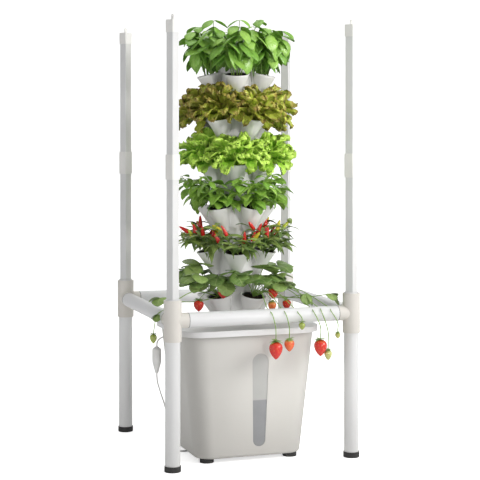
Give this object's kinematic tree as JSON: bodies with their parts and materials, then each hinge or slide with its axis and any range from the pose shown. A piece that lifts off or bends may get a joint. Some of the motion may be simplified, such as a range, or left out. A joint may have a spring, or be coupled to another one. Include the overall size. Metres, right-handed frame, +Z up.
{
  "type": "hydroponic tower",
  "caption": "Hydroponic tower: stacked planter tiers with herbs, lettuce, chilli and strawberries on a water tank, inside a tube frame with swivelling light bars.",
  "frame": {"origin": "on the floor, at the middle of the four legs", "axes": "+X along the front rail to the right, +Y to the back, +Z up"},
  "size_m": [0.551, 0.551, 1.1885],
  "materials": {
    "white_tube": "smooth satin tube",
    "ivory_joint": "moulded satin",
    "light_white": "satin powder coat",
    "light_opal": "opal diffuser",
    "light_board": "solder mask with a light strip",
    "light_fitting": "moulded satin",
    "black_rubber": "matt",
    "tank_white": "fine moulded texture",
    "lid_white": "moulded satin",
    "window_smoke": "translucent",
    "lead_white": "soft satin",
    "pump_black": "moulded",
    "impeller_white": "moulded",
    "riser_grey": "smooth tube",
    "tower_white": "satin gloss",
    "cup_black": "net cup with growing medium",
    "basil_leaf": "glossy leaf",
    "red_lettuce_leaf": "frilled red and green leaf",
    "green_lettuce_leaf": "frilled leaf",
    "mint_leaf": "matt leaf",
    "chilli_leaf": "narrow leaf with red fruit",
    "strawberry_leaf": "toothed leaf with red fruit"
  },
  "bodies": {
    "frame": {"leg_front_left": "white_tube", "corner_joint_front_left": "ivory_joint", "leg_front_right": "white_tube", "corner_joint_front_right": "ivory_joint", "leg_back_left": "white_tube", "corner_joint_back_left": "ivory_joint", "leg_back_right": "white_tube", "corner_joint_back_right": "ivory_joint", "rail_front": "white_tube", "rail_back": "white_tube", "rail_left": "white_tube", "rail_right": "white_tube", "leg_feet": "black_rubber", "tank_feet": "black_rubber", "tank_body": "tank_white", "tank_lid": "lid_white", "lead_grommet": "lead_white", "lead_connector": "lead_white", "level_window": "window_smoke", "pump_housing": "pump_black", "riser_pipe": "riser_grey", "pump_lead": "lead_white", "adapter_lead": "lead_white", "adapter_lead_coil": "lead_white", "mains_adapter": "lead_white"},
    "tower": {"tower_tier_1": "tower_white", "tower_tier_2": "tower_white", "tower_tier_3": "tower_white", "tower_tier_4": "tower_white", "tower_tier_5": "tower_white", "tower_tier_6": "tower_white", "tower_cap": "tower_white", "net_cups": "cup_black", "basil_plants": "basil_leaf", "red_lettuce_plants": "red_lettuce_leaf", "green_lettuce_plants": "green_lettuce_leaf", "mint_plants": "mint_leaf", "chilli_plants": "chilli_leaf", "strawberry_plants": "strawberry_leaf"},
    "impeller": {"pump_impeller": "impeller_white"},
    "light_front_left": {"light_front_left_housing": "light_white", "light_front_left_cover": "light_opal", "light_front_left_board": "light_board", "light_front_left_sleeve": "light_fitting", "light_front_left_cap": "light_fitting"},
    "light_front_right": {"light_front_right_housing": "light_white", "light_front_right_cover": "light_opal", "light_front_right_board": "light_board", "light_front_right_sleeve": "light_fitting", "light_front_right_cap": "light_fitting"},
    "light_back_left": {"light_back_left_housing": "light_white", "light_back_left_cover": "light_opal", "light_back_left_board": "light_board", "light_back_left_sleeve": "light_fitting", "light_back_left_cap": "light_fitting"},
    "light_back_right": {"light_back_right_housing": "light_white", "light_back_right_cover": "light_opal", "light_back_right_board": "light_board", "light_back_right_sleeve": "light_fitting", "light_back_right_cap": "light_fitting"}
  },
  "joints": [
    {"name": "light_front_left_swivel", "type": "hinge", "parent": "frame", "child": "light_front_left", "pos_m": [-0.252, -0.252, 0.444], "axis": [0, 0, 1], "range_deg": [-90, 90]},
    {"name": "light_front_right_swivel", "type": "hinge", "parent": "frame", "child": "light_front_right", "pos_m": [0.252, -0.252, 0.444], "axis": [0, 0, 1], "range_deg": [-90, 90]},
    {"name": "light_back_left_swivel", "type": "hinge", "parent": "frame", "child": "light_back_left", "pos_m": [-0.252, 0.252, 0.444], "axis": [0, 0, 1], "range_deg": [-90, 90]},
    {"name": "light_back_right_swivel", "type": "hinge", "parent": "frame", "child": "light_back_right", "pos_m": [0.252, 0.252, 0.444], "axis": [0, 0, 1], "range_deg": [-90, 90]},
    {"name": "tower_lift", "type": "slide", "parent": "frame", "child": "tower", "axis": [0, 0, 1], "range_m": [0, 0.3]},
    {"name": "impeller_spin", "type": "hinge", "parent": "frame", "child": "impeller", "pos_m": [-0.02, -0.08, 0.039], "axis": [0, 1, 0], "continuous": true}
  ]
}
